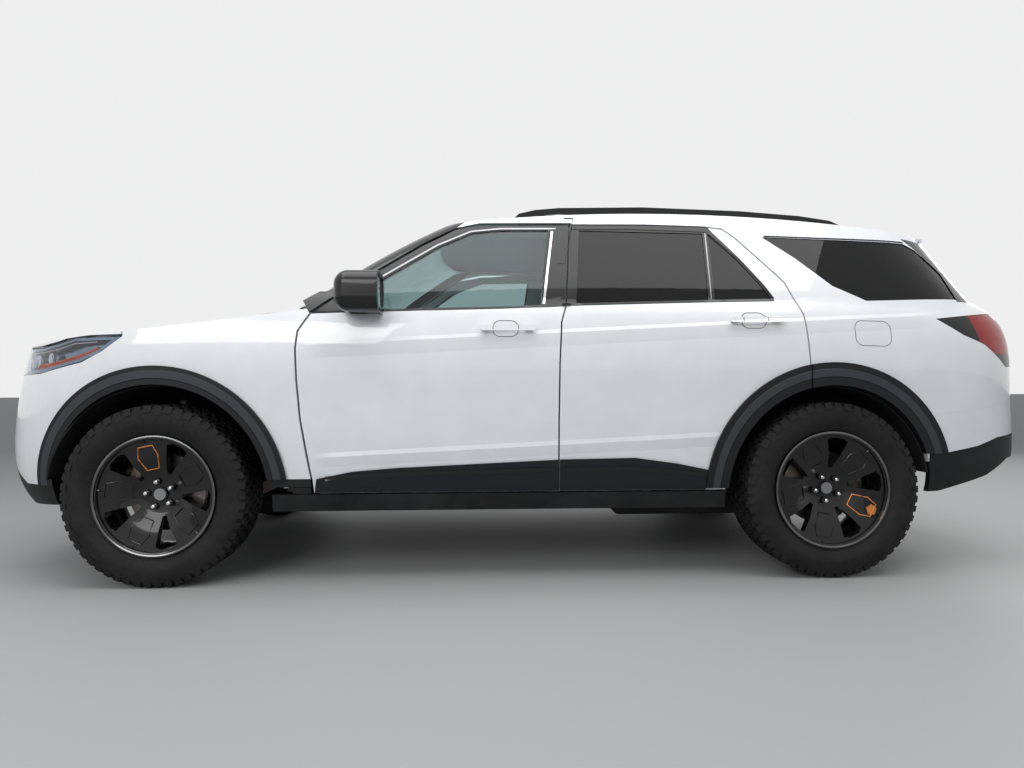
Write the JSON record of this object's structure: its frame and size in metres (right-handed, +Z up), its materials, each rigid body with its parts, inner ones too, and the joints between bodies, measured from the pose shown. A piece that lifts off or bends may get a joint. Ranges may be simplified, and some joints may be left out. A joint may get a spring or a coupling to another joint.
{
  "type": "sport utility vehicle",
  "caption": "Full-size family sport utility vehicle with opening doors, hood and liftgate, black arch flares, roof rails, dark rear glass and steered all-terrain wheels.",
  "frame": {"origin": "middle of the bounding box, on the ground between the wheels", "axes": "+X towards the rear of the vehicle, -Y towards its left side, +Z up"},
  "size_m": [5.0488, 2.268, 1.7749],
  "materials": {
    "body_white": "gloss",
    "black_trim": "satin",
    "wheel_black": "gloss",
    "tyre": "matte",
    "clear_glass": "polished",
    "dark_glass": "polished",
    "lamp_lens": "polished",
    "red_lens": "gloss",
    "lamp_bezel": "gloss",
    "liner_plastic": "matte",
    "seat_cloth": "woven",
    "cabin_plastic": "matte",
    "exhaust_steel": "brushed",
    "cast_iron": "cast",
    "chassis_steel": "satin"
  },
  "bodies": {
    "vehicle_body": {"arch_flares": "black_trim", "body_sides": "body_white", "bulkhead": "chassis_steel", "cowl_panel": "black_trim", "dashboard": "cabin_plastic", "driveshaft": "chassis_steel", "engine": "cast_iron", "exhaust": "exhaust_steel", "floor_pan": "chassis_steel", "front_bumper": "body_white", "front_fenders": "body_white", "front_seats": "seat_cloth", "front_subframe": "chassis_steel", "fuel_tank": "chassis_steel", "grille": "black_trim", "headlamp_housings": "lamp_bezel", "headlamps": "lamp_lens", "lower_valances": "black_trim", "quarter_windows": "dark_glass", "radiator": "chassis_steel", "rear_bumper": "body_white", "rear_knuckles": "cast_iron", "rear_subframe": "chassis_steel", "roof_panel": "body_white", "roof_rails": "black_trim", "second_row_seats": "seat_cloth", "sill_claddings": "black_trim", "skid_plate": "liner_plastic", "steering_wheel": "cabin_plastic", "tail_lamps": "red_lens", "third_row_seats": "seat_cloth", "wheel_liners": "liner_plastic", "windshield": "clear_glass"},
    "front_door_left_body": {"front_door_left": "body_white", "front_door_window_left": "clear_glass", "front_door_cladding_left": "black_trim", "mirror_left": "black_trim"},
    "rear_door_left_body": {"rear_door_left": "body_white", "rear_door_window_left": "dark_glass", "rear_door_cladding_left": "black_trim"},
    "front_steering_left": {"front_knuckle_left": "cast_iron"},
    "front_wheel_left_body": {"tyre_front_left": "tyre", "wheel_front_left": "wheel_black"},
    "rear_wheel_left_body": {"tyre_rear_left": "tyre", "wheel_rear_left": "wheel_black"},
    "front_door_right_body": {"front_door_right": "body_white", "front_door_window_right": "clear_glass", "front_door_cladding_right": "black_trim", "mirror_right": "black_trim"},
    "rear_door_right_body": {"rear_door_right": "body_white", "rear_door_window_right": "dark_glass", "rear_door_cladding_right": "black_trim"},
    "front_steering_right": {"front_knuckle_right": "cast_iron"},
    "front_wheel_right_body": {"tyre_front_right": "tyre", "wheel_front_right": "wheel_black"},
    "rear_wheel_right_body": {"tyre_rear_right": "tyre", "wheel_rear_right": "wheel_black"},
    "hood_body": {"hood": "body_white"},
    "liftgate_body": {"liftgate": "body_white", "liftgate_window": "dark_glass"}
  },
  "joints": [
    {"name": "front_door_left_hinge", "type": "hinge", "parent": "vehicle_body", "child": "front_door_left_body", "pos_m": [-1.091, -0.953, 0.8], "axis": [0, 0, -1], "range_deg": [0, 68]},
    {"name": "rear_door_left_hinge", "type": "hinge", "parent": "vehicle_body", "child": "rear_door_left_body", "pos_m": [0.066, -0.953, 0.8], "axis": [0, 0, -1], "range_deg": [0, 70]},
    {"name": "steer_left", "type": "hinge", "parent": "vehicle_body", "child": "front_steering_left", "pos_m": [-1.636, -0.8, 0.4], "axis": [0, 0, 1], "range_deg": [-33, 33]},
    {"name": "front_wheel_left_spin", "type": "hinge", "parent": "front_steering_left", "child": "front_wheel_left_body", "pos_m": [-1.636, -0.85, 0.4], "axis": [0, 1, 0], "continuous": true},
    {"name": "rear_wheel_left_spin", "type": "hinge", "parent": "vehicle_body", "child": "rear_wheel_left_body", "pos_m": [1.389, -0.85, 0.4], "axis": [0, 1, 0], "continuous": true},
    {"name": "front_door_right_hinge", "type": "hinge", "parent": "vehicle_body", "child": "front_door_right_body", "pos_m": [-1.091, 0.953, 0.8], "axis": [0, 0, 1], "range_deg": [0, 68]},
    {"name": "rear_door_right_hinge", "type": "hinge", "parent": "vehicle_body", "child": "rear_door_right_body", "pos_m": [0.066, 0.953, 0.8], "axis": [0, 0, 1], "range_deg": [0, 70]},
    {"name": "steer_right", "type": "hinge", "parent": "vehicle_body", "child": "front_steering_right", "pos_m": [-1.636, 0.8, 0.4], "axis": [0, 0, 1], "range_deg": [-33, 33]},
    {"name": "front_wheel_right_spin", "type": "hinge", "parent": "front_steering_right", "child": "front_wheel_right_body", "pos_m": [-1.636, 0.85, 0.4], "axis": [0, 1, 0], "continuous": true},
    {"name": "rear_wheel_right_spin", "type": "hinge", "parent": "vehicle_body", "child": "rear_wheel_right_body", "pos_m": [1.389, 0.85, 0.4], "axis": [0, 1, 0], "continuous": true},
    {"name": "hood_hinge", "type": "hinge", "parent": "vehicle_body", "child": "hood_body", "pos_m": [-1.15, 0, 1.215], "axis": [0, 1, 0], "range_deg": [0, 50]},
    {"name": "liftgate_hinge", "type": "hinge", "parent": "vehicle_body", "child": "liftgate_body", "pos_m": [1.89, 0, 1.65], "axis": [0, -1, 0], "range_deg": [0, 85]}
  ],
  "couplings": [
    {"joint": "steer_right", "follows": "steer_left", "ratio": 1}
  ]
}
